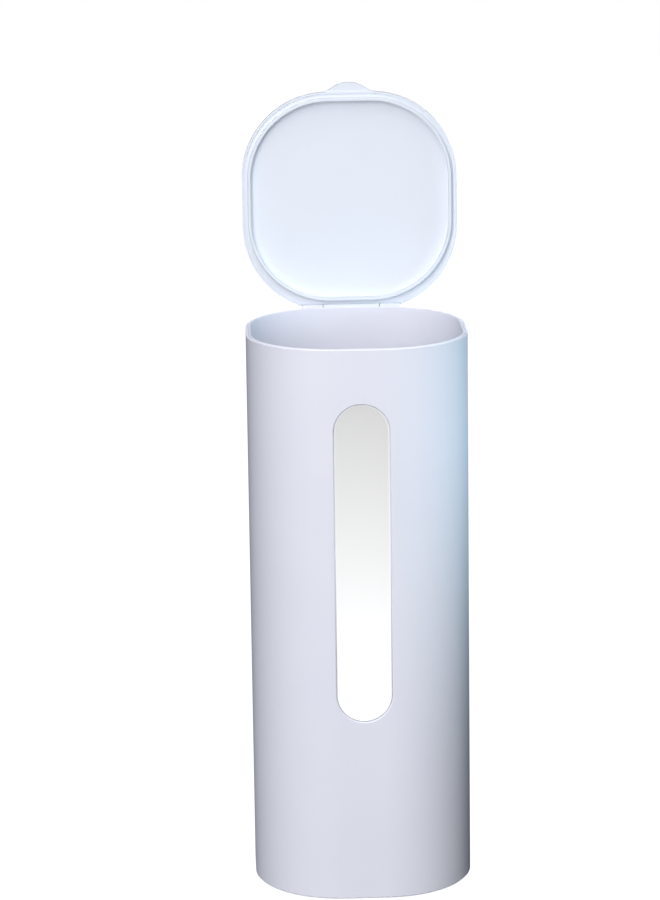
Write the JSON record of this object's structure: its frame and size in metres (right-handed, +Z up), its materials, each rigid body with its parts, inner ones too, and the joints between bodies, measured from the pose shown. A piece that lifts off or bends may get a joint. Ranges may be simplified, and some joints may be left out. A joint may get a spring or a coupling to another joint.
{
  "type": "cup dispenser",
  "caption": "Wall-hung paper cup dispenser: a rounded-square plastic tube with a slot window, a hinged lid that stands open, and spring catches at the outlet.",
  "frame": {"origin": "centre of the adhesive pad's rear face, the face that meets the wall", "axes": "+Y into the wall, +Z up, +X to the right of someone who faces the window"},
  "size_m": [0.092, 0.1, 0.3316],
  "materials": {
    "shell_plastic": "gloss",
    "lid_plastic": "satin",
    "lens": "frosted",
    "outlet_plastic": "matte",
    "catch_plastic": "matte",
    "plate_plastic": "matte",
    "pad_foam": "matte",
    "pin_steel": "brushed",
    "spring_steel": "drawn",
    "screw_steel": "plated"
  },
  "bodies": {
    "wall_mount": {"wall_plate": "plate_plastic", "adhesive_pad": "pad_foam"},
    "housing": {"housing_shell": "shell_plastic", "window_lens": "lens", "hinge_pin": "pin_steel", "outlet_collar": "outlet_plastic", "outlet_trim": "outlet_plastic", "outlet_screws": "screw_steel", "catch_pin_1": "pin_steel", "catch_pin_2": "pin_steel", "catch_pin_3": "pin_steel", "catch_pin_4": "pin_steel", "catch_spring_1": "spring_steel", "catch_spring_2": "spring_steel", "catch_spring_3": "spring_steel", "catch_spring_4": "spring_steel"},
    "lid": {"lid": "lid_plastic"},
    "catch_1": {"cup_catch_1": "catch_plastic"},
    "catch_2": {"cup_catch_2": "catch_plastic"},
    "catch_3": {"cup_catch_3": "catch_plastic"},
    "catch_4": {"cup_catch_4": "catch_plastic"}
  },
  "joints": [
    {"name": "lift_off", "type": "slide", "parent": "wall_mount", "child": "housing", "axis": [0, 0, 1], "range_m": [0, 0.056]},
    {"name": "lid_hinge", "type": "hinge", "parent": "housing", "child": "lid", "pos_m": [0, -0.0066, 0.0842], "axis": [1, 0, 0], "range_deg": [0, 91]},
    {"name": "catch_1_swing", "type": "hinge", "parent": "housing", "child": "catch_1", "pos_m": [0.03055, -0.02345, -0.1415], "axis": [0.7071, -0.7071, 0], "range_deg": [0, 50], "stiffness_Nm_per_rad": 0.01, "springref_deg": -17.19, "deforming": ["catch_spring_1"]},
    {"name": "catch_2_swing", "type": "hinge", "parent": "housing", "child": "catch_2", "pos_m": [-0.03055, -0.02345, -0.1415], "axis": [0.7071, 0.7071, 0], "range_deg": [0, 50], "stiffness_Nm_per_rad": 0.01, "springref_deg": -17.19, "deforming": ["catch_spring_2"]},
    {"name": "catch_3_swing", "type": "hinge", "parent": "housing", "child": "catch_3", "pos_m": [-0.03055, -0.08455, -0.1415], "axis": [-0.7071, 0.7071, 0], "range_deg": [0, 50], "stiffness_Nm_per_rad": 0.01, "springref_deg": -17.19, "deforming": ["catch_spring_3"]},
    {"name": "catch_4_swing", "type": "hinge", "parent": "housing", "child": "catch_4", "pos_m": [0.03055, -0.08455, -0.1415], "axis": [-0.7071, -0.7071, 0], "range_deg": [0, 50], "stiffness_Nm_per_rad": 0.01, "springref_deg": -17.19, "deforming": ["catch_spring_4"]}
  ]
}
